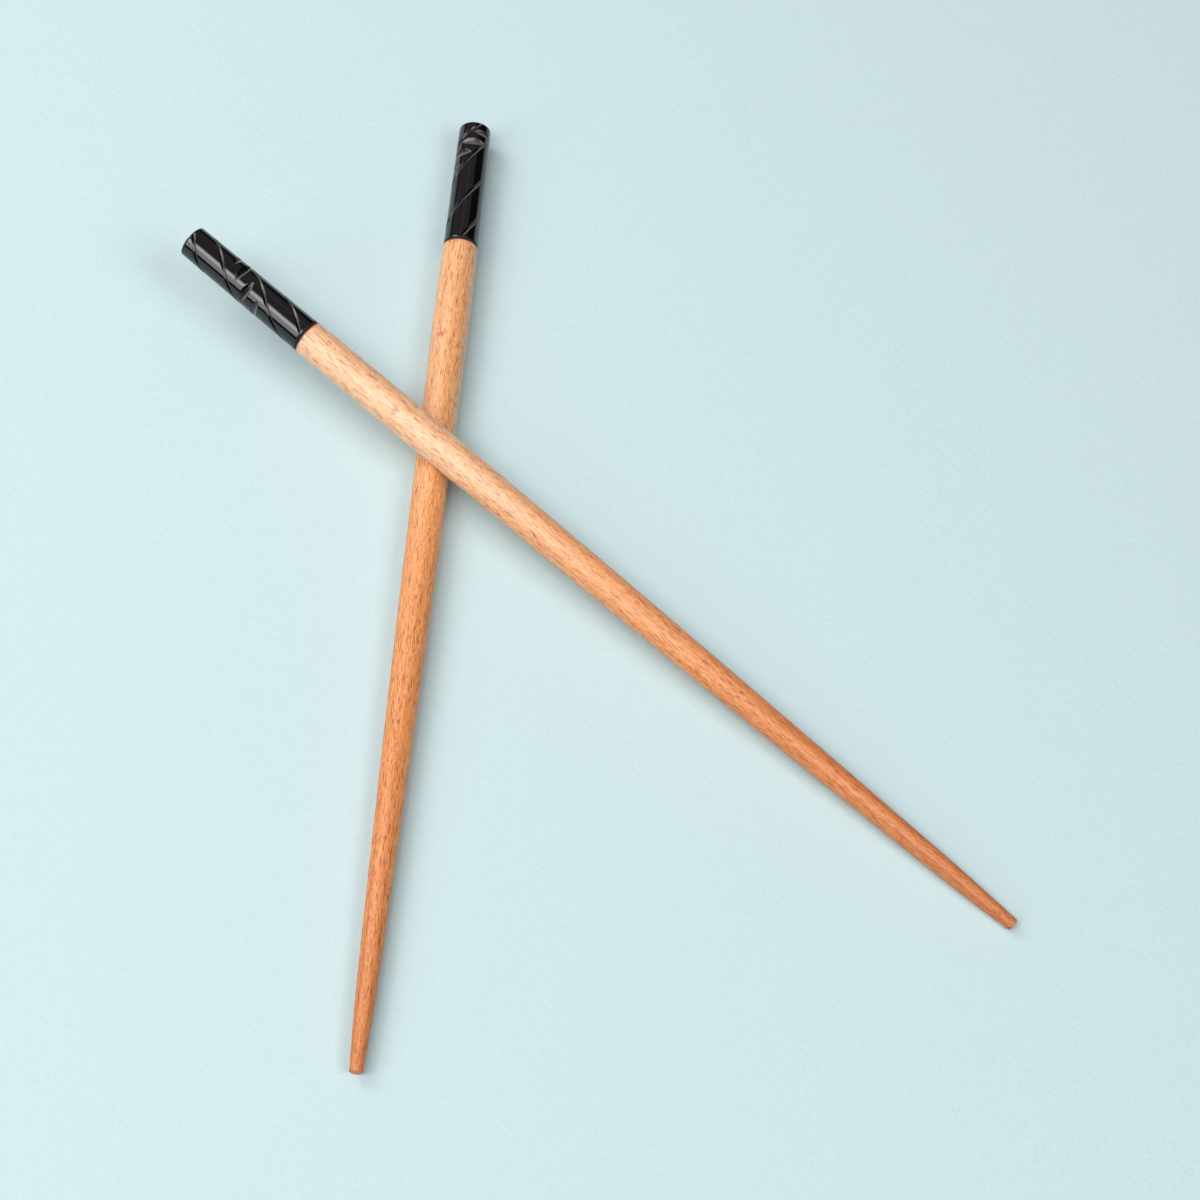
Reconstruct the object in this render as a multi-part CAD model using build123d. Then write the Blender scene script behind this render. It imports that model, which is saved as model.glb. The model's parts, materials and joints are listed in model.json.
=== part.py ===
from build123d import *
import math
import os

# A pair of crossed chopsticks: two beech shafts with black carved handles, millimetres and degrees.
# Every chopstick is made upright in its own frame: handle end at the origin, tip towards +Z,
# and +X on the side that faces up once it lies down.

# Shaft
stick_length = 230.0
widest_diameter = 8.1
widest_from_end = 57.0
border_diameter = 7.95
nose_diameter = 4.4
nose_length = 22.0
tip_diameter = 2.7
belly_bow = 0.32
tip_edge = 0.2
shoulder_edge = 0.12

# Handle
handle_length = 34.2
handle_end_diameter = 7.3
handle_border_diameter = 7.8
crown_height = 0.35
end_round = 0.5
border_round_depth = 0.35
border_round_length = 1.0

# Glued joint between shaft and handle
tenon_diameter = 4.0
tenon_length = 14.0
tenon_lead = 0.4
glue_gap = 0.05
socket_spare = 0.8

# Carved grooves: V cuts that wind round the handle
groove_width = 0.75
groove_depth = 0.32
groove_start = 1.0
groove_margin = 0.9

# Carved leaves: lens-shaped cuts across the handle, steep towards the handle end
leaf_steep_share = 0.35
leaf_hollow = 0.45
cut_overshoot = 0.5

# Strokes of each handle: angle at the handle end, turn per millimetre, start and end distance.
# An end of None runs on to the border. The first groove of a handle is two strokes that meet behind it.
upper_turn_change = 10.2
upper_strokes = (
    (-7.0, 16.6, groove_start, upper_turn_change),
    (61.0, 9.94, upper_turn_change, None),
    (-105.0, 12.43, groove_start, None),
    (-222.0, 10.84, groove_start, None),
)
lower_turn_change = 13.4
lower_strokes = (
    (-28.0, 15.9, groove_start, lower_turn_change),
    (65.0, 8.95, lower_turn_change, None),
    (-104.0, 10.44, groove_start, None),
    (-213.0, 9.94, groove_start, None),
)

# Leaves of each handle: distance from the handle end, angle of the middle, half of the angle it spans,
# and width
upper_leaves = (
    (11.7, -33.0, 34.0, 1.25),
    (14.4, -9.0, 50.0, 1.7),
    (17.8, 46.0, 46.0, 1.8),
    (21.4, 86.0, 45.0, 1.7),
)
lower_leaves = (
    (3.0, -26.0, 34.0, 1.7),
    (5.9, 4.0, 47.0, 1.9),
    (9.0, 46.0, 41.0, 1.9),
    (12.5, 82.0, 39.0, 1.7),
)

# How the pair lies
crossing_angle = 55.95
lower_crossing = 92.0
upper_crossing = 71.4
lower_rest = 97.0
crossing_gap = 0.03


# Outline of the shaft, in the plane of radius and distance from the handle end
border_point = Vector(border_diameter / 2, handle_length + shoulder_edge)
widest_point = Vector(widest_diameter / 2, widest_from_end)
nose_point = Vector(nose_diameter / 2, stick_length - nose_length)
tip_point = Vector(tip_diameter / 2, stick_length - tip_edge)
swell_arc = TangentArc(widest_point, border_point, tangent=(0, -1))
belly_arc = SagittaArc(widest_point, nose_point, -belly_bow)
nose_arc = TangentArc(nose_point, tip_point, tangent=belly_arc % 1)


def belly_radius(distance):
    """Radius of the shaft on its long taper, and how fast it changes."""
    centre = belly_arc.arc_center
    rise = math.sqrt(belly_arc.radius**2 - (distance - centre.Y) ** 2)
    return centre.X + rise, -(distance - centre.Y) / rise


def shallow_curves(arc, count):
    """A shallow arc as a few Bezier curves end to end, which keeps its turned faces light."""
    half_step = arc.length / count / 2
    curves = []
    for number in range(count):
        start = arc @ (number / count)
        pull = start + arc % (number / count) * half_step
        curves.append(Bezier(start, pull, arc @ ((number + 1) / count)))
    return curves


def make_shaft():
    """The turned shaft, with a tenon at its thick end and a blunt tip."""
    tenon_radius = tenon_diameter / 2
    tenon_start = handle_length - tenon_length
    ends = Polyline(
        tip_point,
        (tip_point.X - tip_edge, stick_length),
        (0, stick_length),
        (0, tenon_start),
        (tenon_radius - tenon_lead, tenon_start),
        (tenon_radius, tenon_start + tenon_lead),
        (tenon_radius, handle_length),
        (border_point.X - shoulder_edge, handle_length),
        border_point,
    )
    sides = shallow_curves(swell_arc, 1) + shallow_curves(belly_arc, 4) + shallow_curves(nose_arc, 2)
    return revolve(Plane.XZ * make_face([ends] + sides), Axis.Z)


# Handle


def handle_radius(distance):
    """Radius of the uncarved handle at a distance from its end."""
    grow = (handle_border_diameter - handle_end_diameter) / 2
    return handle_end_diameter / 2 + grow * distance / handle_length


def make_blank():
    """The turned handle before carving, with its blind socket."""
    socket_radius = tenon_diameter / 2 + glue_gap
    socket_end = handle_length - tenon_length - socket_spare
    crown_edge = Vector(handle_radius(0) - end_round, crown_height)
    side_start = Vector(handle_radius(crown_height + end_round), crown_height + end_round)
    round_start = handle_length - border_round_length
    side_end = Vector(handle_radius(round_start), round_start)
    border_edge = Vector(handle_radius(handle_length) - border_round_depth, handle_length)
    # The domed end is three shallow cones and each corner two narrow bevels, all along arcs
    crown_arc = TangentArc((0, 0), crown_edge, tangent=(1, 0))
    end_arc = TangentArc(side_start, crown_edge, tangent=(0, -1))
    border_arc = TangentArc(side_end, border_edge, tangent=(0, 1))
    outline = Polyline(
        (0, 0),
        crown_arc @ 0.33,
        crown_arc @ 0.67,
        crown_edge,
        end_arc @ 0.5,
        side_start,
        side_end,
        border_arc @ 0.5,
        border_edge,
        (socket_radius, handle_length),
        (socket_radius, socket_end),
        (0, socket_end),
        close=True,
    )
    return revolve(Plane.XZ * make_face(outline), Axis.Z)


def groove_cutter(angle_at_end, turn, start, end):
    """A V section swept along a helix that follows the taper of the handle."""
    taper = math.degrees(math.atan2(handle_radius(1) - handle_radius(0), 1))
    path = Helix(360 / turn, end - start, handle_radius(start), cone_angle=taper)
    widen = (groove_depth + cut_overshoot) / groove_depth
    half_width = groove_width / 2 * widen
    across = Plane(path @ 0, x_dir=(1, 0, 0), z_dir=path % 0)
    with BuildPart() as cutter:
        with BuildSketch(across) as section:
            with BuildLine():
                Polyline(
                    (-groove_depth, 0),
                    (cut_overshoot, half_width),
                    (cut_overshoot, -half_width),
                    close=True,
                )
            make_face()
        sweep(section.sketch, path=path, is_frenet=True)
    return Location((0, 0, start), (0, 0, angle_at_end + turn * start)) * cutter.part


def leaf_cutter(distance, angle, half_span, width):
    """A V-edged ring, wider than the handle and set off centre, so that its cut runs out at both ends."""
    radius = handle_radius(distance)
    chord_depth = radius * (1 - math.cos(math.radians(half_span)))
    depth = leaf_hollow * chord_depth
    offset = depth * (2 * radius - depth) / (2 * (chord_depth - depth))
    cutter_width = width * (depth + cut_overshoot) / depth
    inner = radius - depth + offset
    outer = radius + cut_overshoot + offset
    with BuildPart() as ring:
        with BuildSketch(Plane.XZ):
            with BuildLine():
                Polyline(
                    (inner, 0),
                    (outer, -leaf_steep_share * cutter_width),
                    (outer, (1 - leaf_steep_share) * cutter_width),
                    close=True,
                )
            make_face()
        revolve(axis=Axis.Z)
    return Location((0, 0, distance), (0, 0, angle)) * Location((-offset, 0, 0)) * ring.part


def make_handle(strokes, leaves):
    handle = make_blank()
    for angle_at_end, turn, start, end in strokes:
        stop = handle_length - groove_margin if end is None else end
        handle -= groove_cutter(angle_at_end, turn, start, stop)
    for distance, angle, half_span, width in leaves:
        handle -= leaf_cutter(distance, angle, half_span, width)
    return handle


# How each chopstick lies


def lying_frame(handle_end, azimuth, tilt):
    """Frame of a chopstick whose tip points along an azimuth and down by a tilt."""
    flat = math.cos(math.radians(tilt))
    drop = math.sin(math.radians(tilt))
    east = math.cos(math.radians(azimuth))
    north = math.sin(math.radians(azimuth))
    to_tip = Vector(flat * east, flat * north, -drop)
    top_side = Vector(drop * east, drop * north, flat)
    return Plane(handle_end, x_dir=top_side, z_dir=to_tip)


def lower_frame():
    """The lower chopstick points along -Y and rests on the belly of its taper."""
    rest_radius, rest_slope = belly_radius(lower_rest)
    tilt = math.degrees(math.atan(-rest_slope))
    drop = math.sin(math.radians(tilt))
    height = rest_radius * math.cos(math.radians(tilt)) + lower_rest * drop
    return lying_frame(Vector(0, 0, height), -90, tilt)


def upper_frame(lower):
    """The upper chopstick crosses over the lower one and comes down to the table at its tip."""
    azimuth = -90 + crossing_angle
    below = lower.origin + lower.z_dir * lower_crossing
    stack = belly_radius(lower_crossing)[0] + belly_radius(upper_crossing)[0] + crossing_gap
    reach = tip_point.Y - upper_crossing
    tilt = 0.0
    # The tilt and the lean of the contact depend on each other, and settle in a few rounds
    for _ in range(6):
        frame = lying_frame(Vector(), azimuth, tilt)
        lean = abs(lower.z_dir.cross(frame.z_dir).normalized().Z)
        height = below.Z + stack / lean
        tip_height = tip_point.X * math.cos(math.radians(tilt))
        tilt = math.degrees(math.asin((height - tip_height) / reach))
    frame = lying_frame(Vector(), azimuth, tilt)
    handle_end = Vector(below.X, below.Y, height) - frame.z_dir * upper_crossing
    return lying_frame(handle_end, azimuth, tilt)


lower = lower_frame()
upper = upper_frame(lower)
shaft = make_shaft()
pieces = {
    "lower_shaft": lower.location * shaft,
    "lower_handle": lower.location * make_handle(lower_strokes, lower_leaves),
    "upper_shaft": upper.location * shaft,
    "upper_handle": upper.location * make_handle(upper_strokes, upper_leaves),
}

# The origin is under the middle of the pair, on the table
box = Compound(list(pieces.values())).bounding_box()
to_origin = Location((-box.center().X, -box.center().Y, -box.min.Z))

os.makedirs("parts", exist_ok=True)
for name, piece in pieces.items():
    export_step(to_origin * piece, f"parts/{name}.step")
    print(name, round(piece.volume, 2))

for name, frame in (("lower", lower), ("upper", upper)):
    tip = to_origin * (frame.location * Location((0, 0, stick_length)))
    print(name, "tip", tip.position, "towards", frame.z_dir)
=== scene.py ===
# %% [markdown]
# A pair of chopsticks lies crossed on pale paper. Each one is a turned beech shaft with a black
# lacquered handle, and the handle is carved with winding grooves and a row of small leaves.
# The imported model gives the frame: every piece made below takes its place from it.

import json
import math

import bpy
import numpy as np
from mathutils import Matrix, Vector


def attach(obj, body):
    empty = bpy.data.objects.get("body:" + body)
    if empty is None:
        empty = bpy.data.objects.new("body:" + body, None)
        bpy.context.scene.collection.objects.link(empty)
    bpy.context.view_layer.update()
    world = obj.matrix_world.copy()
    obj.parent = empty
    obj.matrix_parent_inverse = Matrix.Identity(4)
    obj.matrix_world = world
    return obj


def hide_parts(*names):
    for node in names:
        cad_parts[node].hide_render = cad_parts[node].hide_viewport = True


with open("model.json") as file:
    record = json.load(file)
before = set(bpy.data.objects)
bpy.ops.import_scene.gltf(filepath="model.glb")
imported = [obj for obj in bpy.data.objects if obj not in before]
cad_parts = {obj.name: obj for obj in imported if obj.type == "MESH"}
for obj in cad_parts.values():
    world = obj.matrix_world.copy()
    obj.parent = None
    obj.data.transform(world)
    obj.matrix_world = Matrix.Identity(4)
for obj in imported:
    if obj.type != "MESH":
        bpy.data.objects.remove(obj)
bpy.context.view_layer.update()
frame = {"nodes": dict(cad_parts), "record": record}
bpy.context.scene.view_settings.view_transform = "Standard"
print("nodes:", sorted(frame["nodes"]))

# %% [markdown]
# A chopstick is easiest to make upright, as on a lathe: handle end at the origin, tip towards +Z,
# and +X on the side that faces up once it lies down. The record has a mount at each tip, with its
# place and direction, and that is enough to work out where each finished chopstick lies.

# %% Where each chopstick lies
mm = 0.001
stick_length = 230 * mm


def lying_place(mount):
    """The matrix that lays an upright chopstick down so that its tip meets a mount."""
    to_tip = Vector(mount["axis"]).normalized()
    top_side = (Vector((0, 0, 1)) - to_tip * to_tip.z).normalized()
    left_side = to_tip.cross(top_side)
    place = Matrix((top_side, left_side, to_tip)).transposed().to_4x4()
    place.translation = Vector(mount["pos_m"]) - to_tip * stick_length
    return place


mounts = {mount["name"]: mount for mount in frame["record"]["mounts"]}
places = {stick: lying_place(mounts[stick + "_tip_end"]) for stick in ("lower", "upper")}
for stick, place in places.items():
    print(stick, "handle end at", [round(value / mm, 2) for value in place.translation], "mm")

# %% [markdown]
# Turned pieces are made as on a real lathe: draw half of the outline, then spin it round the axis.
# A plane merged into one point is the start of the outline, and each extrude draws the next stretch.
# A twist lets the outline climb round the axis like a screw line while its radius stays the same.
# The spun shape is then the same, but its columns of faces run along a helix. That helps with the
# carving later, because grooves that follow the columns come out clean.

# %% A lathe for outlines
merge_distance = 0.002 * mm


def turn_on_lathe(name, outline, steps, twist=0.0):
    """Spins (radius, distance) points round Z into a closed piece. The twist is in radians per metre."""
    points = []
    for radius, distance in outline:
        angle = twist * distance
        points.append(Vector((radius * math.cos(angle), radius * math.sin(angle), distance)))
    bpy.ops.object.select_all(action="DESELECT")
    bpy.ops.mesh.primitive_plane_add(size=mm)
    piece = bpy.context.object
    piece.name = name
    bpy.ops.object.mode_set(mode="EDIT")
    bpy.ops.mesh.select_all(action="SELECT")
    bpy.ops.mesh.merge(type="CENTER")
    bpy.ops.transform.translate(value=points[0])
    for here, there in zip(points, points[1:]):
        bpy.ops.mesh.extrude_region_move(TRANSFORM_OT_translate={"value": there - here})
    bpy.ops.mesh.select_all(action="SELECT")
    bpy.ops.mesh.spin(steps=steps, angle=2 * math.pi, center=(0, 0, 0), axis=(0, 0, 1))
    bpy.ops.mesh.select_all(action="SELECT")
    bpy.ops.mesh.remove_doubles(threshold=merge_distance)
    bpy.ops.mesh.normals_make_consistent(inside=False)
    bpy.ops.object.mode_set(mode="OBJECT")
    print(name, "turned:", len(outline), "outline points,", len(piece.data.polygons), "faces")
    return piece


def lay_down(piece, place):
    """Moves an upright piece to where it lies, with the place kept in its mesh."""
    bpy.ops.object.select_all(action="DESELECT")
    piece.select_set(True)
    bpy.context.view_layer.objects.active = piece
    piece.matrix_world = place
    bpy.ops.object.transform_apply(location=True, rotation=True, scale=True)


# %% [markdown]
# The shaft is a long, slim curve: it swells a little past the handle, tapers with a slight belly,
# and draws in faster over the last 22 mm to a blunt tip. Three parabolas that meet smoothly give
# that outline. A tenon on the thick end goes into the handle, as on the solid model.

# %% Outline of the shaft
handle_length = 34.2 * mm
widest_from_end = 57.0 * mm
nose_length = 22.0 * mm
nose_start = stick_length - nose_length
border_radius = 7.95 / 2 * mm
widest_radius = 8.1 / 2 * mm
nose_radius = 4.4 / 2 * mm
tip_radius = 2.7 / 2 * mm
belly_bow = 0.32 * mm
tip_edge = 0.2 * mm
tip_round = 1.5 * tip_edge
shoulder_edge = 0.12 * mm
tenon_radius = 4.0 / 2 * mm
tenon_length = 14.0 * mm
tenon_lead = 0.4 * mm
shoulder_steps = 4
shaft_steps = 110
tip_steps = 5


def shaft_radius(distance):
    """Radius of the shaft at a distance from the handle end."""
    if distance < widest_from_end:
        back = (widest_from_end - distance) / (widest_from_end - handle_length)
        return widest_radius - (widest_radius - border_radius) * back**2
    belly_length = nose_start - widest_from_end
    if distance < nose_start:
        along = (distance - widest_from_end) / belly_length
        return widest_radius + (nose_radius - widest_radius) * along + 4 * belly_bow * along * (1 - along)
    slope = (nose_radius - widest_radius - 4 * belly_bow) / belly_length
    past = distance - nose_start
    bend = (tip_radius - nose_radius - slope * nose_length) / nose_length**2
    return nose_radius + slope * past + bend * past**2


def evenly(start, end, count):
    """Distances from start to end in equal steps, both included."""
    return [start + (end - start) * number / count for number in range(count + 1)]


def round_corner(start, corner, end, count):
    """Points of a rounded corner between two points of an outline."""
    points = []
    for share in evenly(0, 1, count):
        rest = 1 - share
        curve = zip(start, corner, end)
        points.append(tuple(a * rest**2 + 2 * b * share * rest + c * share**2 for a, b, c in curve))
    return points


tenon_start = handle_length - tenon_length
shaft_start = handle_length + shoulder_edge
shaft_end = stick_length - tip_edge
shaft_outline = [(0, tenon_start), (tenon_radius - tenon_lead, tenon_start)]
shaft_outline += [(tenon_radius, tenon_start + tenon_lead), (tenon_radius, handle_length)]
shaft_outline += round_corner(
    (border_radius - shoulder_edge, handle_length),
    (border_radius, handle_length),
    (shaft_radius(shaft_start), shaft_start),
    shoulder_steps,
)
for distance in evenly(shaft_start, shaft_end, shaft_steps)[1:-1]:
    shaft_outline.append((shaft_radius(distance), distance))
shaft_outline += round_corner(
    (shaft_radius(shaft_end), shaft_end),
    (tip_radius, stick_length),
    (tip_radius - tip_round, stick_length),
    tip_steps,
)
shaft_outline.append((0, stick_length))
print("shaft outline:", len(shaft_outline), "points")

# %% Turn the shafts
shaft_columns = 96
sharp_angle = math.radians(40)
shafts = {}
for stick, place in places.items():
    shaft = turn_on_lathe(stick + "_beech_shaft", shaft_outline, shaft_columns)
    lay_down(shaft, place)
    bpy.ops.object.shade_smooth_by_angle(angle=sharp_angle)
    shafts[stick] = shaft

# %% [markdown]
# The handle starts as a plain turned blank with a slightly domed end, soft corners and a blind
# socket for the tenon. Its mesh has to be dense, because the carving is about to push it in.

# %% Outline of the handle blank
end_radius = 7.3 / 2 * mm
handle_border_radius = 7.8 / 2 * mm
crown_height = 0.35 * mm
end_round = 0.5 * mm
end_corner_lift = 0.1 * mm
border_round_depth = 0.35 * mm
border_round_length = 1.0 * mm
border_corner_share = 0.56
glue_gap = 0.05 * mm
socket_spare = 0.8 * mm
crown_steps = 8
end_steps = 8
handle_steps = 312
border_steps = 12


def handle_radius(distance):
    """Radius of the uncarved handle at a distance from its end."""
    return end_radius + (handle_border_radius - end_radius) * distance / handle_length


crown_edge = end_radius - end_round
side_start = crown_height + end_round
side_end = handle_length - border_round_length
socket_radius = tenon_radius + glue_gap
socket_end = handle_length - tenon_length - socket_spare
handle_outline = []
for radius in evenly(0, crown_edge, crown_steps)[:-1]:
    handle_outline.append((radius, crown_height * (radius / crown_edge) ** 2))
handle_outline += round_corner(
    (crown_edge, crown_height),
    (handle_radius(crown_height), crown_height + end_corner_lift),
    (handle_radius(side_start), side_start),
    end_steps,
)
for distance in evenly(side_start, side_end, handle_steps)[1:-1]:
    handle_outline.append((handle_radius(distance), distance))
handle_outline += round_corner(
    (handle_radius(side_end), side_end),
    (handle_border_radius, side_end + border_corner_share * border_round_length),
    (handle_border_radius - border_round_depth, handle_length),
    border_steps,
)
handle_outline += [(socket_radius, handle_length), (socket_radius, socket_end), (0, socket_end)]
print("handle blank:", len(handle_outline), "outline points")

# %% [markdown]
# The carving is three grooves that wind round the handle and four lens-shaped leaves between them.
# A Boolean with swept cutters would give knife-sharp edges and stretched faces, and gloss lacquer
# shows both. Here each point of the blank gets a depth instead, worked out as a carver would set it:
# from how far it is from the line of a groove or the keel of a leaf. A Displace modifier with that
# vertex group then pushes the surface in, and the edges come out as soft as lacquered ones are.
#
# Handling wears a cut on one side first: here it is the wall towards the tip that has gone grey.
# That grey is partly wear and partly a painted highlight for the light these walls catch.
# So each cut also gives its share of wear and painted highlight, from 0 to 1, for the lacquer to use later.

# %% Depth, wear and painted highlight of the cuts
groove_width = 0.78 * mm
groove_depth = 0.32 * mm
# How round the bottom of a groove is, and over how far its wear and painted highlight fade in
groove_root = 0.04 * mm
groove_wear_fade = 0.08 * mm
# Share of a leaf's width taken by its steep wall, its depth against a flat cut of the same span,
# and how hollow its facet is
leaf_steep_share = 0.35
leaf_hollow = 0.45
leaf_facet_power = 1.5
# Share of the facet over which its wear and painted highlight fade in
leaf_wear_fade = 0.4
# Nothing is cut past this many half spans, and the walls never get narrower than this share
leaf_reach = 1.2
least_fullness = 0.02
# Softness of every lip, and the depth from which a wall takes its full wear and painted highlight
edge_softness = 0.05 * mm
worn_depth = 0.06 * mm


def soft_cut(depth, softness):
    """Keeps positive depths and rounds the lip where a cut meets the surface."""
    lip = np.clip(depth + softness, 0, 2 * softness) ** 2 / (4 * softness)
    return np.where(depth > softness, depth, lip)


def turned_difference(angle, reference):
    """Difference of two angles, from minus half a turn to half a turn."""
    return (angle - reference + np.pi) % (2 * np.pi) - np.pi


def cut_groove(distance, angle, stroke, worn_from):
    """Depth and wear, with its painted highlight, of one groove: angle at the handle end, turn per
    millimetre, start and end.
    """
    angle_at_end, turn, start, end = stroke
    turn_rate = math.radians(turn) / mm
    radius = handle_radius(distance)
    away = turned_difference(angle, math.radians(angle_at_end) + turn_rate * distance)
    across = radius * away / np.sqrt(1 + (radius * turn_rate) ** 2)
    past_ends = np.maximum(np.maximum(start * mm - distance, distance - end * mm), 0)
    from_line = np.sqrt(across**2 + past_ends**2 + groove_root**2)
    depth = soft_cut(groove_depth * (1 - from_line / (groove_width / 2)), edge_softness)
    towards_tip = np.clip((-across - worn_from * mm) / groove_wear_fade, 0, 1)
    return depth, towards_tip * np.clip(depth / worn_depth, 0, 1)


def cut_leaf(distance, angle, leaf, worn_from):
    """Depth and wear, with its painted highlight, of one leaf: distance, angle of its middle, half of the
    angle it spans, and width.
    """
    middle, middle_angle, half_span, width = leaf
    half_angle = math.radians(half_span)
    deepest = leaf_hollow * handle_radius(middle * mm) * (1 - math.cos(half_angle))
    steep = leaf_steep_share * width * mm
    facet = width * mm - steep
    away = turned_difference(angle, math.radians(middle_angle))
    fullness = 1 - (away / half_angle) ** 2
    room = np.maximum(fullness, least_fullness)
    # The keel bows towards the steep side, so that both tips lie on the middle line of the leaf
    keel = middle * mm + (facet - steep) / 2 * (1 - fullness)
    beside = distance - keel
    steep_wall = -beside / (steep * room)
    facet_wall = np.maximum(beside, 0) / (facet * room)
    wall = np.where(beside < 0, steep_wall, facet_wall**leaf_facet_power)
    depth = soft_cut(deepest * np.where(fullness > 0, fullness * (1 - wall), fullness), edge_softness)
    depth[np.abs(away) > leaf_reach * half_angle] = 0
    towards_tip = np.clip((facet_wall - worn_from) / leaf_wear_fade, 0, 1)
    return depth, towards_tip * np.clip(depth / worn_depth, 0, 1)


# %% [markdown]
# The strokes and leaves of the two handles were carved by hand, so they differ. Each groove stroke
# has an angle at the handle end in degrees, a turn in degrees per millimetre, and the distances in
# millimetres where it starts and ends. The first groove of a handle is two strokes, because it turns
# more slowly from behind the handle on. Each leaf has a distance, an angle, half of the angle it spans,
# and a width. The two handles also differ in their wear and its painted highlight.

# %% Strokes and leaves of each handle
groove_start = 1.0
groove_stop = 33.3
upper_turn_change = 10.2
lower_turn_change = 13.4
strokes = {
    "upper": (
        (-7.0, 16.6, groove_start, upper_turn_change),
        (61.0, 9.94, upper_turn_change, groove_stop),
        (-105.0, 12.43, groove_start, groove_stop),
        (-222.0, 10.84, groove_start, groove_stop),
    ),
    "lower": (
        (-28.0, 15.9, groove_start, lower_turn_change),
        (65.0, 8.95, lower_turn_change, groove_stop),
        (-104.0, 10.44, groove_start, groove_stop),
        (-213.0, 9.94, groove_start, groove_stop),
    ),
}
leaves = {
    "upper": (
        (11.7, -33.0, 34.0, 1.25),
        (14.4, -9.0, 50.0, 1.7),
        (17.8, 46.0, 46.0, 1.8),
        (21.4, 86.0, 45.0, 1.7),
    ),
    "lower": (
        (3.0, -26.0, 34.0, 1.7),
        (5.9, 4.0, 47.0, 1.9),
        (9.0, 46.0, 41.0, 1.9),
        (12.5, 82.0, 39.0, 1.7),
    ),
}
# Where the wear and its painted highlight start: millimetres past the line of a groove, and share of the
# facet past a leaf's keel
groove_worn_from = {"upper": 0.06, "lower": 0.03}
leaf_worn_from = {"upper": 0.40, "lower": -0.10}
# The most wear and painted highlight that a groove shows
groove_wear_and_highlight = {"upper": 0.6, "lower": 1.0}
for stick in places:
    print(stick, "handle:", len(strokes[stick]), "strokes and", len(leaves[stick]), "leaves")

# %% [markdown]
# Carving one handle takes three moves: work out the depth and the share of wear and painted highlight
# of every point, store them on the mesh, and let the modifier push the points in along their normals.
# Where two cuts cross, the deeper one counts.

# %% A carver for handles
side_tolerance = 0.05 * mm


def add_attribute(piece, name, values):
    """Stores one number for each point of a piece."""
    attribute = piece.data.attributes.new(name, "FLOAT", "POINT")
    attribute.data.foreach_set("value", values.astype(np.float32))


def carve(piece, stick):
    """Pushes the grooves and leaves of one handle into its upright blank."""
    count = len(piece.data.vertices)
    flat_places = np.empty(count * 3)
    piece.data.vertices.foreach_get("co", flat_places)
    x, y, distance = flat_places.reshape(count, 3).T
    radius = np.hypot(x, y)
    angle = np.arctan2(y, x)
    cuts = []
    for stroke in strokes[stick]:
        depth, wear_and_highlight = cut_groove(distance, angle, stroke, groove_worn_from[stick])
        cuts.append((depth, wear_and_highlight * groove_wear_and_highlight[stick]))
    cuts += [cut_leaf(distance, angle, leaf, leaf_worn_from[stick]) for leaf in leaves[stick]]
    depth = np.max([cut[0] for cut in cuts], axis=0)
    wear_and_highlight = np.max([cut[1] for cut in cuts], axis=0)
    # The domed end, the socket and the flat round it stay as turned
    plain = (radius < handle_radius(distance) - side_tolerance) | (distance > side_end)
    depth[plain] = 0
    wear_and_highlight[plain] = 0
    deepest = depth.max()
    shares = depth / deepest
    group = piece.vertex_groups.new(name="carving")
    for index in np.nonzero(shares)[0]:
        group.add([int(index)], float(shares[index]), "REPLACE")
    add_attribute(piece, "cut", np.clip(depth / groove_depth, 0, 1))
    # The second attribute is the share of wear and painted highlight that greys the walls towards the tip
    add_attribute(piece, "wear_and_highlight", wear_and_highlight)
    bpy.context.view_layer.objects.active = piece
    push = piece.modifiers.new("carving", "DISPLACE")
    push.vertex_group = "carving"
    push.direction = "NORMAL"
    push.mid_level = 0.0
    push.strength = -deepest
    bpy.ops.object.modifier_apply(modifier=push.name)
    print(stick, "handle carved to", round(deepest / mm, 2), "mm deep")


# %% Turn and carve the handles
handle_columns = 280
groove_turn = math.radians(11) / mm
handles = {}
for stick, place in places.items():
    handle = turn_on_lathe(stick + "_carved_handle", handle_outline, handle_columns, groove_turn)
    carve(handle, stick)
    lay_down(handle, place)
    bpy.ops.object.shade_smooth()
    handles[stick] = handle

# %% [markdown]
# Both shafts share the look of beech: fine fibres along the grain, short dark flecks where the
# wood's rays are cut across, and a tone that goes from pale peach at the handle to a deeper orange
# brown at the tip. The upper shaft is paler near the handle, partly from paler wood and partly from a
# painted highlight, so the group mixes two tones. Hands have polished the wood near the handle, and
# that sheen fades towards the tip. A thin dark red line is left where the black coat ends. All this
# is one node group, and each material gives it that shaft's own coordinates in millimetres, so the
# grain always runs along the shaft.

# %% Helpers for shader nodes


def add_node(tree, kind, inputs=None, **settings):
    """Adds a node with some of its settings and unlinked inputs."""
    node = tree.nodes.new(kind)
    for name, value in settings.items():
        setattr(node, name, value)
    for name, value in (inputs or {}).items():
        node.inputs[name].default_value = value
    return node


def add_ramp(tree, factor, stops):
    """A colour ramp from a list of (position, colour)."""
    node = tree.nodes.new("ShaderNodeValToRGB")
    elements = node.color_ramp.elements
    while len(elements) < len(stops):
        elements.new(0.5)
    for element, (position, colour) in zip(elements, stops):
        element.position = position
        element.color = (*colour, 1.0)
    tree.links.new(factor, node.inputs["Fac"])
    return node.outputs["Color"]


def add_mix(tree, factor, first, second, blend="MIX"):
    """Mixes two colours. A number, a colour or an output may be given for each."""
    node = tree.nodes.new("ShaderNodeMix")
    node.data_type = "RGBA"
    node.blend_type = blend
    for socket, value in ((node.inputs[0], factor), (node.inputs[6], first), (node.inputs[7], second)):
        if isinstance(value, bpy.types.NodeSocket):
            tree.links.new(value, socket)
        elif isinstance(value, tuple):
            socket.default_value = (*value, 1.0)
        else:
            socket.default_value = value
    return node.outputs[2]


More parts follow.
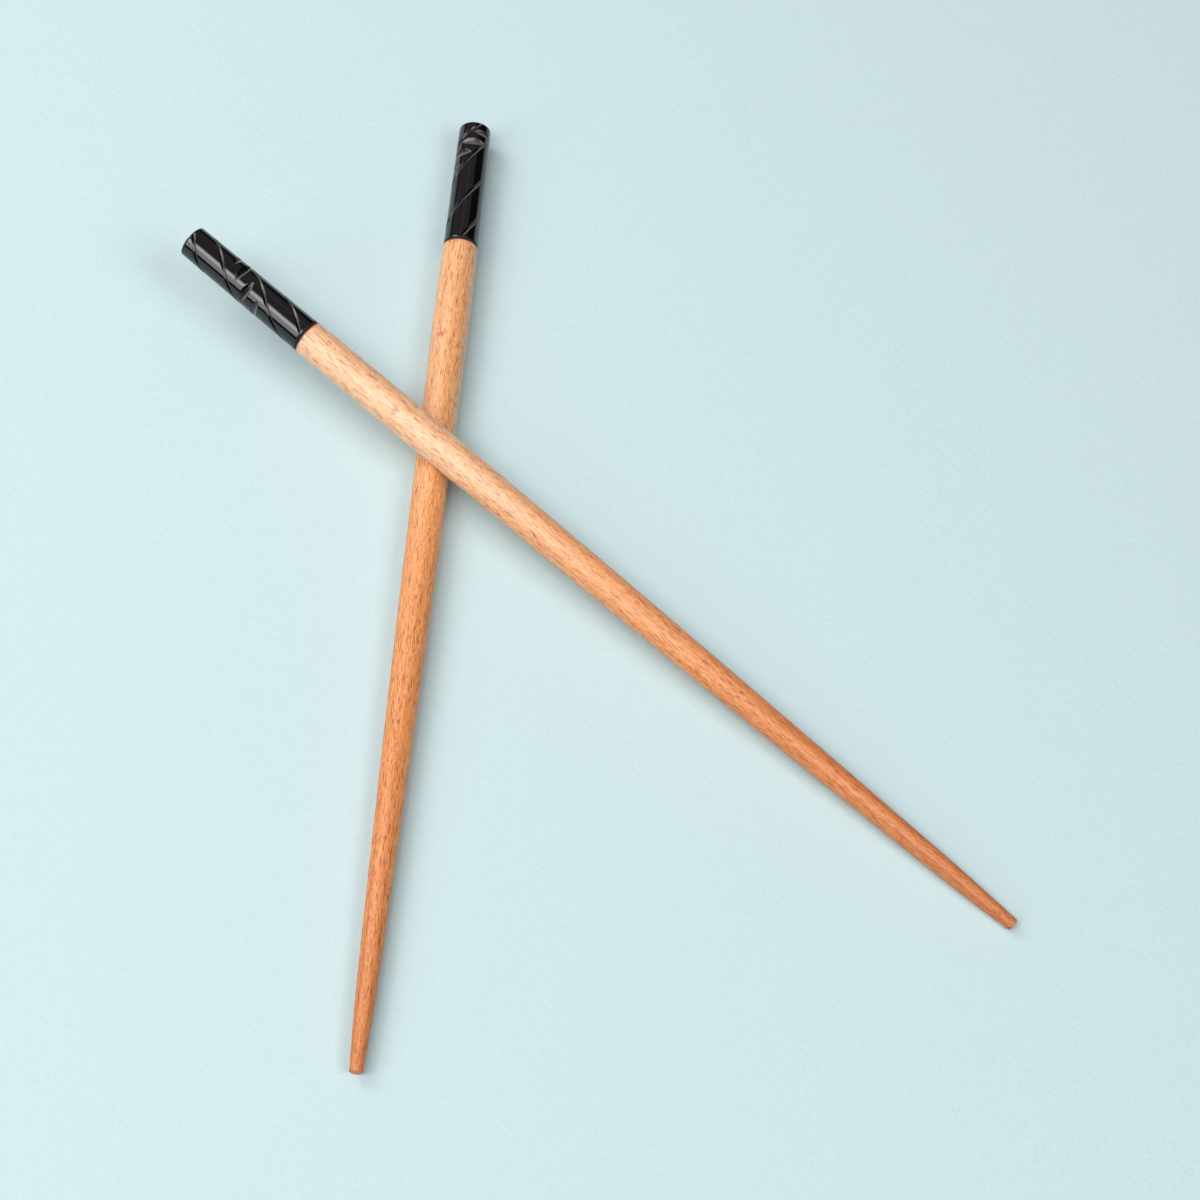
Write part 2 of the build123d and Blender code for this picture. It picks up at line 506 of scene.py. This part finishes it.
def add_noise(tree, vector, stretch, detail=3.0, roughness=0.55):
    """Noise with its own scale along each axis, in cells per unit of the vector."""
    mapping = add_node(tree, "ShaderNodeMapping", {"Scale": stretch})
    tree.links.new(vector, mapping.inputs["Vector"])
    noise = add_node(tree, "ShaderNodeTexNoise", {"Scale": 1.0, "Detail": detail, "Roughness": roughness})
    tree.links.new(mapping.outputs["Vector"], noise.inputs["Vector"])
    return noise.outputs["Fac"]


def grey(value):
    """The same value for red, green and blue."""
    return (value, value, value)


def new_group(name, inputs, outputs):
    """A shader node group with named sockets."""
    group = bpy.data.node_groups.new(name, "ShaderNodeTree")
    for direction, sockets in (("INPUT", inputs), ("OUTPUT", outputs)):
        for socket, kind in sockets.items():
            group.interface.new_socket(socket, in_out=direction, socket_type=kind)
    return group, group.nodes.new("NodeGroupInput"), group.nodes.new("NodeGroupOutput")


# %% The beech group and its tone along the shaft
beech_group, beech_in, beech_out = new_group(
    "beech",
    {"Place": "NodeSocketVector", "Pale": "NodeSocketFloat"},
    {
        "Colour": "NodeSocketColor",
        "Roughness": "NodeSocketFloat",
        "Sheen": "NodeSocketFloat",
        "Relief": "NodeSocketFloat",
    },
)
place_mm = beech_in.outputs["Place"]
split = add_node(beech_group, "ShaderNodeSeparateXYZ")
beech_group.links.new(place_mm, split.inputs["Vector"])
along = add_node(beech_group, "ShaderNodeMath", {1: stick_length / mm}, operation="DIVIDE")
beech_group.links.new(split.outputs["Z"], along.inputs[0])
# The stops of both tones and of the sheen are shares of the chopstick's length
tone = add_ramp(
    beech_group,
    along.outputs[0],
    [
        (0.15, (0.86, 0.43, 0.185)),
        (0.35, (0.85, 0.42, 0.175)),
        (0.50, (0.79, 0.335, 0.112)),
        (0.75, (0.75, 0.295, 0.098)),
        (1.0, (0.62, 0.225, 0.070)),
    ],
)
# Paler near the handle: partly paler wood, partly a painted highlight for the sheen that washes out the
# upper shaft
pale_and_highlight_tone = add_ramp(
    beech_group,
    along.outputs[0],
    [
        (0.15, (0.89, 0.53, 0.295)),
        (0.35, (0.88, 0.51, 0.275)),
        (0.52, (0.83, 0.37, 0.15)),
        (0.72, (0.72, 0.27, 0.088)),
        (1.0, (0.56, 0.19, 0.056)),
    ],
)
tone = add_mix(beech_group, beech_in.outputs["Pale"], tone, pale_and_highlight_tone)
sheen = add_ramp(
    beech_group,
    along.outputs[0],
    [(0.34, grey(0.9)), (0.46, grey(0.4)), (0.65, grey(0.15)), (1.0, grey(0.1))],
)
beech_group.links.new(sheen, beech_out.inputs["Sheen"])
print("beech tone and sheen:", len(beech_group.nodes), "nodes")

# %% [markdown]
# The grain is noise, stretched along the shaft by different amounts: broad bands, fine fibres, thin
# dark pores and a soft speckle. Each one multiplies the tone. The ray flecks are small cells of a
# Voronoi texture, and only the middle of a cell is dark.

# %% Grain and flecks of the beech
# Cells per millimetre, across the grain twice and then along it
fibre_stretch = (3.8, 3.8, 0.36)
band_stretch = (0.9, 0.9, 0.012)
fleck_stretch = (1.3, 1.3, 0.3)
pore_stretch = (4.6, 4.6, 0.42)
speckle_stretch = (4.2, 4.2, 1.5)
dark_grain = (0.62, 0.42, 0.30)
fibres = add_noise(beech_group, place_mm, fibre_stretch, detail=4.0, roughness=0.62)
bands = add_noise(beech_group, place_mm, band_stretch, detail=3.0)
fibre_shade = add_ramp(
    beech_group, fibres, [(0.32, (0.84, 0.74, 0.64)), (0.50, grey(1.0)), (0.70, (1.08, 1.12, 1.16))]
)
band_shade = add_ramp(beech_group, bands, [(0.32, (0.90, 0.82, 0.74)), (0.62, (1.04, 1.05, 1.06))])
fleck_space = add_node(beech_group, "ShaderNodeMapping", {"Scale": fleck_stretch})
beech_group.links.new(place_mm, fleck_space.inputs["Vector"])
fleck_cells = add_node(beech_group, "ShaderNodeTexVoronoi", {"Scale": 1.0})
beech_group.links.new(fleck_space.outputs["Vector"], fleck_cells.inputs["Vector"])
fleck_mask = add_ramp(beech_group, fleck_cells.outputs["Distance"], [(0.10, grey(0.75)), (0.24, grey(0.0))])
shaded = add_mix(beech_group, 1.0, tone, fibre_shade, "MULTIPLY")
shaded = add_mix(beech_group, 1.0, shaded, band_shade, "MULTIPLY")
pores = add_noise(beech_group, place_mm, pore_stretch, detail=0.0)
pore_shade = add_ramp(beech_group, pores, [(0.63, grey(1.0)), (0.68, dark_grain)])
shaded = add_mix(beech_group, 1.0, shaded, pore_shade, "MULTIPLY")
speckle = add_noise(beech_group, place_mm, speckle_stretch, detail=1.0)
speckle_shade = add_ramp(
    beech_group, speckle, [(0.36, (1.06, 1.09, 1.12)), (0.52, grey(1.0)), (0.64, (0.88, 0.79, 0.71))]
)
shaded = add_mix(beech_group, 1.0, shaded, speckle_shade, "MULTIPLY")
flecked = add_mix(beech_group, 1.0, shaded, dark_grain, "MULTIPLY")
colour = add_mix(beech_group, fleck_mask, shaded, flecked)
print("with grain and flecks:", len(beech_group.nodes), "nodes")

# %% Border line and gloss of the beech
dark_red = (0.13, 0.016, 0.006)
past_border = add_node(beech_group, "ShaderNodeMath", {1: handle_length / mm}, operation="SUBTRACT")
beech_group.links.new(split.outputs["Z"], past_border.inputs[0])
# Millimetres past the end of the handle
border_line = add_ramp(beech_group, past_border.outputs[0], [(0.25, grey(1.0)), (0.45, grey(0.0))])
colour = add_mix(beech_group, border_line, colour, dark_red)
beech_group.links.new(colour, beech_out.inputs["Colour"])
gloss = add_ramp(beech_group, fibres, [(0.3, grey(0.54)), (0.7, grey(0.46))])
beech_group.links.new(gloss, beech_out.inputs["Roughness"])
beech_group.links.new(fibres, beech_out.inputs["Relief"])
print("beech group:", len(beech_group.nodes), "nodes")

# %% The beech materials


def new_material(name, roughness):
    """A material with just its Principled shader, at one roughness until another is linked to it."""
    material = bpy.data.materials.new(name)
    material.use_nodes = True
    shader = material.node_tree.nodes["Principled BSDF"]
    shader.inputs["Roughness"].default_value = roughness
    return material, material.node_tree, shader


def add_stick_place(tree, place):
    """Object coordinates turned into a chopstick's own frame, in millimetres."""
    coordinates = add_node(tree, "ShaderNodeTexCoord")
    mapping = add_node(tree, "ShaderNodeMapping", vector_type="TEXTURE")
    mapping.inputs["Location"].default_value = place.translation
    mapping.inputs["Rotation"].default_value = place.to_euler()
    mapping.inputs["Scale"].default_value = (mm, mm, mm)
    tree.links.new(coordinates.outputs["Object"], mapping.inputs["Vector"])
    return mapping.outputs["Vector"]


def add_bump(tree, shader, height, strength, distance):
    """Fine relief that only bends the light."""
    bump = add_node(tree, "ShaderNodeBump", {"Strength": strength, "Distance": distance})
    tree.links.new(height, bump.inputs["Height"])
    tree.links.new(bump.outputs["Normal"], shader.inputs["Normal"])


# The upper shaft takes the paler tone: partly paler wood, partly painted highlight
paleness_and_highlight = {"lower": 0.0, "upper": 1.0}
for stick, place in places.items():
    material, tree, shader = new_material(stick + "_beech", roughness=0.5)
    beech = add_node(tree, "ShaderNodeGroup", node_tree=beech_group)
    beech.inputs["Pale"].default_value = paleness_and_highlight[stick]
    tree.links.new(add_stick_place(tree, place), beech.inputs["Place"])
    tree.links.new(beech.outputs["Colour"], shader.inputs["Base Color"])
    tree.links.new(beech.outputs["Roughness"], shader.inputs["Roughness"])
    tree.links.new(beech.outputs["Sheen"], shader.inputs["Coat Weight"])
    shader.inputs["Coat Roughness"].default_value = 0.42
    shader.inputs["Coat IOR"].default_value = 1.65
    add_bump(tree, shader, beech.outputs["Relief"], strength=0.25, distance=0.05 * mm)
    shafts[stick].data.materials.append(material)
    print(material.name, "made")

# %% [markdown]
# The handles are black gloss lacquer. On the walls of the cuts towards the tip the coat is dull grey,
# partly wear and partly a painted highlight for the light those walls catch, and here and there brown
# wood shows through. The carving left two attributes on every point: cut tells the bottom of a cut
# from the plain surface, and the other marks the walls that have lost their gloss and are painted grey.
# The last half millimetre before the wood is dull too, so the bright band stops short of the wood.

# %% The lacquer group
lacquer_group, lacquer_in, lacquer_out = new_group(
    "black_lacquer",
    {"Place": "NodeSocketVector", "Cut": "NodeSocketFloat", "Wear_and_highlight": "NodeSocketFloat"},
    {"Colour": "NodeSocketColor", "Roughness": "NodeSocketFloat"},
)
fresh_black = (0.0022, 0.0020, 0.0026)
# Grey of the dull walls: partly wear, partly a painted highlight for the light those walls catch
wear_and_highlight_grey = (0.135, 0.115, 0.103)
bare_brown = (0.18, 0.115, 0.075)
# Cells per millimetre
patch_stretch = (0.45, 0.45, 0.45)
patches = add_noise(lacquer_group, lacquer_in.outputs["Place"], patch_stretch, detail=2.0)
wear_and_highlight_colour = add_ramp(lacquer_group, patches, [(0.50, wear_and_highlight_grey), (0.66, bare_brown)])
lacquer_colour = add_mix(lacquer_group, lacquer_in.outputs["Wear_and_highlight"], fresh_black, wear_and_highlight_colour)
lacquer_group.links.new(lacquer_colour, lacquer_out.inputs["Colour"])
polish = add_ramp(lacquer_group, lacquer_in.outputs["Cut"], [(0.1, grey(0.10)), (0.6, grey(0.17))])
polish = add_mix(lacquer_group, lacquer_in.outputs["Wear_and_highlight"], polish, grey(0.38))
handle_split = add_node(lacquer_group, "ShaderNodeSeparateXYZ")
lacquer_group.links.new(lacquer_in.outputs["Place"], handle_split.inputs["Vector"])
handle_along = add_node(lacquer_group, "ShaderNodeMath", {1: handle_length / mm}, operation="DIVIDE")
lacquer_group.links.new(handle_split.outputs["Z"], handle_along.inputs[0])
# Shares of the handle's length
border_stops = [(0.980, grey(0.0)), (0.986, grey(1.0))]
border_dullness = add_ramp(lacquer_group, handle_along.outputs[0], border_stops)
polish = add_mix(lacquer_group, border_dullness, polish, grey(0.95))
lacquer_group.links.new(polish, lacquer_out.inputs["Roughness"])
print("lacquer group:", len(lacquer_group.nodes), "nodes")

# %% The lacquer materials
for stick, place in places.items():
    material, tree, shader = new_material(stick + "_black_lacquer", roughness=0.10)
    shader.inputs["IOR"].default_value = 1.57
    lacquer = add_node(tree, "ShaderNodeGroup", node_tree=lacquer_group)
    tree.links.new(add_stick_place(tree, place), lacquer.inputs["Place"])
    for socket, attribute_name in (("Cut", "cut"), ("Wear_and_highlight", "wear_and_highlight")):
        attribute = add_node(tree, "ShaderNodeAttribute", attribute_name=attribute_name)
        tree.links.new(attribute.outputs["Fac"], lacquer.inputs[socket])
    tree.links.new(lacquer.outputs["Colour"], shader.inputs["Base Color"])
    tree.links.new(lacquer.outputs["Roughness"], shader.inputs["Roughness"])
    handles[stick].data.materials.append(material)
    print(material.name, "made")

# %% [markdown]
# Each new piece now takes over from its solid: it rides on the root body, and the solid is hidden.

# %% Join the pieces to the frame
for stick in places:
    for piece, node, slot in (
        (shafts[stick], stick + "_shaft", "beech"),
        (handles[stick], stick + "_handle", "black_lacquer"),
    ):
        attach(piece, "root")
        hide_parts(node)
        print(piece.name, "stands for", node)

# %% [markdown]
# The pair lies on plain, pale blue-green paper with a very fine tooth. The paper is a large flat
# plane, and its tooth is bump, far too small to model. The lamps stand close and leave the far paper
# dark, so away from the middle it glows a little, but only for the camera and for reflections. It
# lights nothing that way, and the paper near the chopsticks keeps their shadows.

# %% The paper
paper_size = 8.0
paper_colour = (0.545, 0.683, 0.70)
# Cells per metre
tooth_stretch = (700.0, 700.0, 700.0)
bpy.ops.object.select_all(action="DESELECT")
bpy.ops.mesh.primitive_plane_add(size=paper_size)
paper = bpy.context.object
paper.name = "paper"
material, tree, shader = new_material("pale_paper", roughness=0.75)
shader.inputs["Base Color"].default_value = (*paper_colour, 1.0)
shader.inputs["Specular IOR Level"].default_value = 0.2
coordinates = add_node(tree, "ShaderNodeTexCoord")
tooth = add_noise(tree, coordinates.outputs["Object"], tooth_stretch, detail=4.0)
add_bump(tree, shader, tooth, strength=0.8, distance=0.22 * mm)
paper.data.materials.append(material)
print(paper.name, paper_size, "m wide")

# %% Glow of the far paper
glow_colour = (0.68, 0.82, 0.85)
# Metres from the middle
glow_start = 0.45
glow_full = 1.0
from_middle = add_node(tree, "ShaderNodeVectorMath", operation="LENGTH")
tree.links.new(coordinates.outputs["Object"], from_middle.inputs[0])
far = add_ramp(tree, from_middle.outputs["Value"], [(glow_start, grey(0.0)), (glow_full, grey(1.0))])
rays = add_node(tree, "ShaderNodeLightPath")
seen = rays.outputs["Is Camera Ray"]
for ray in ("Is Glossy Ray", "Is Transmission Ray"):
    either = add_node(tree, "ShaderNodeMath", operation="MAXIMUM")
    tree.links.new(seen, either.inputs[0])
    tree.links.new(rays.outputs[ray], either.inputs[1])
    seen = either.outputs[0]
share = add_node(tree, "ShaderNodeMath", operation="MULTIPLY")
tree.links.new(far, share.inputs[0])
tree.links.new(seen, share.inputs[1])
glow = add_node(tree, "ShaderNodeEmission", {"Color": (*glow_colour, 1.0), "Strength": 1.0})
blend = add_node(tree, "ShaderNodeMixShader")
tree.links.new(share.outputs[0], blend.inputs["Fac"])
tree.links.new(shader.outputs["BSDF"], blend.inputs[1])
tree.links.new(glow.outputs["Emission"], blend.inputs[2])
tree.links.new(blend.outputs["Shader"], tree.nodes["Material Output"].inputs["Surface"])
print(material.name, "glows past", glow_start, "m")

# %% [markdown]
# A tall softbox at the left, brightest near its top, gives the long band on the upper handle and the
# sheen along its shaft. The key stands near the camera, so that its shadows hide behind the wood. The
# left and right lamps shine along the upper chopstick, which then throws only a soft shadow, while
# the lower one gets a dark edge on its right. A wide, dim panel overhead is what the black lacquer
# shows as grey, and a faint world stands for the rest of the room.

# %% A lamp maker


def add_softbox(name, direction, distance, width, height, radiance, shape="RECTANGLE"):
    """A lamp that faces the origin, in metres. Its power follows from its size and radiance."""
    direction = Vector(direction)
    bpy.ops.object.select_all(action="DESELECT")
    bpy.ops.object.light_add(type="AREA", location=direction.normalized() * distance)
    lamp = bpy.context.object
    lamp.name = name
    lamp.rotation_euler = direction.to_track_quat("Z", "Y").to_euler()
    lamp.data.shape = shape
    lamp.data.size = width
    lamp.data.size_y = height
    area = width * height
    if shape == "ELLIPSE":
        area *= math.pi / 4
    lamp.data.energy = radiance * math.pi * area
    print(name, "at", [round(value, 2) for value in lamp.location], round(lamp.data.energy, 1), "W")
    return lamp


# %% Softboxes
add_softbox(
    "side_softbox",
    direction=(-0.640, -0.438, 0.631),
    distance=1.95,
    width=0.76,
    height=1.75,
    radiance=3.4,
)
add_softbox(
    "side_core",
    direction=(-0.561, -0.344, 0.754),
    distance=1.9,
    width=0.64,
    height=0.52,
    radiance=3.8,
)
add_softbox(
    "key_softbox",
    direction=(-0.235, -0.40, 0.886),
    distance=2.0,
    width=0.85,
    height=0.85,
    radiance=5.9,
)
add_softbox(
    "left_softbox",
    direction=(-0.68, 0.30, 0.66),
    distance=1.2,
    width=0.53,
    height=0.53,
    radiance=5.6,
)
add_softbox(
    "right_softbox",
    direction=(0.50, -0.33, 0.80),
    distance=2.4,
    width=1.38,
    height=1.19,
    radiance=4.3,
)

# %% Overhead panel and room
overhead = add_softbox(
    "overhead_panel",
    direction=(-0.35, 0.50, 0.80),
    distance=1.3,
    width=2.54,
    height=2.54,
    radiance=0.25,
    shape="ELLIPSE",
)
overhead.data.color = (1.0, 0.92, 1.04)
world = bpy.data.worlds.new("dim_room")
bpy.context.scene.world = world
world.use_nodes = True
background = world.node_tree.nodes["Background"]
background.inputs["Color"].default_value = (0.95, 0.94, 1.0, 1.0)
background.inputs["Strength"].default_value = 0.02
print(world.name, "set as the world")

# %% [markdown]
# The camera looks down on the crossing from the near side and is rolled a little, so that the lower
# chopstick leans in the picture. The picture is taken to be square, 1200 by 1200.

# %% Camera
camera_azimuth = math.radians(78.193)
camera_elevation = math.radians(60.246)
camera_roll = math.radians(18.531)
camera_distance = 0.57086
camera_target = Vector((0.00389, -0.00249, 0.0))
camera_lens = 79.41
sensor_width = 36.0

looking = Vector(
    (
        math.cos(camera_azimuth) * math.cos(camera_elevation),
        math.sin(camera_azimuth) * math.cos(camera_elevation),
        -math.sin(camera_elevation),
    )
)
level_right = looking.cross(Vector((0, 0, 1))).normalized()
level_up = level_right.cross(looking)
picture_right = level_right * math.cos(camera_roll) + level_up * math.sin(camera_roll)
picture_up = level_up * math.cos(camera_roll) - level_right * math.sin(camera_roll)
bpy.ops.object.select_all(action="DESELECT")
bpy.ops.object.camera_add()
camera = bpy.context.object
camera.matrix_world = Matrix((picture_right, picture_up, -looking)).transposed().to_4x4()
camera.location = camera_target - looking * camera_distance
camera.data.sensor_width = sensor_width
camera.data.lens = camera_lens
camera.data.clip_start = 0.01
bpy.context.scene.camera = camera
print("camera at", [round(value, 3) for value in camera.location])
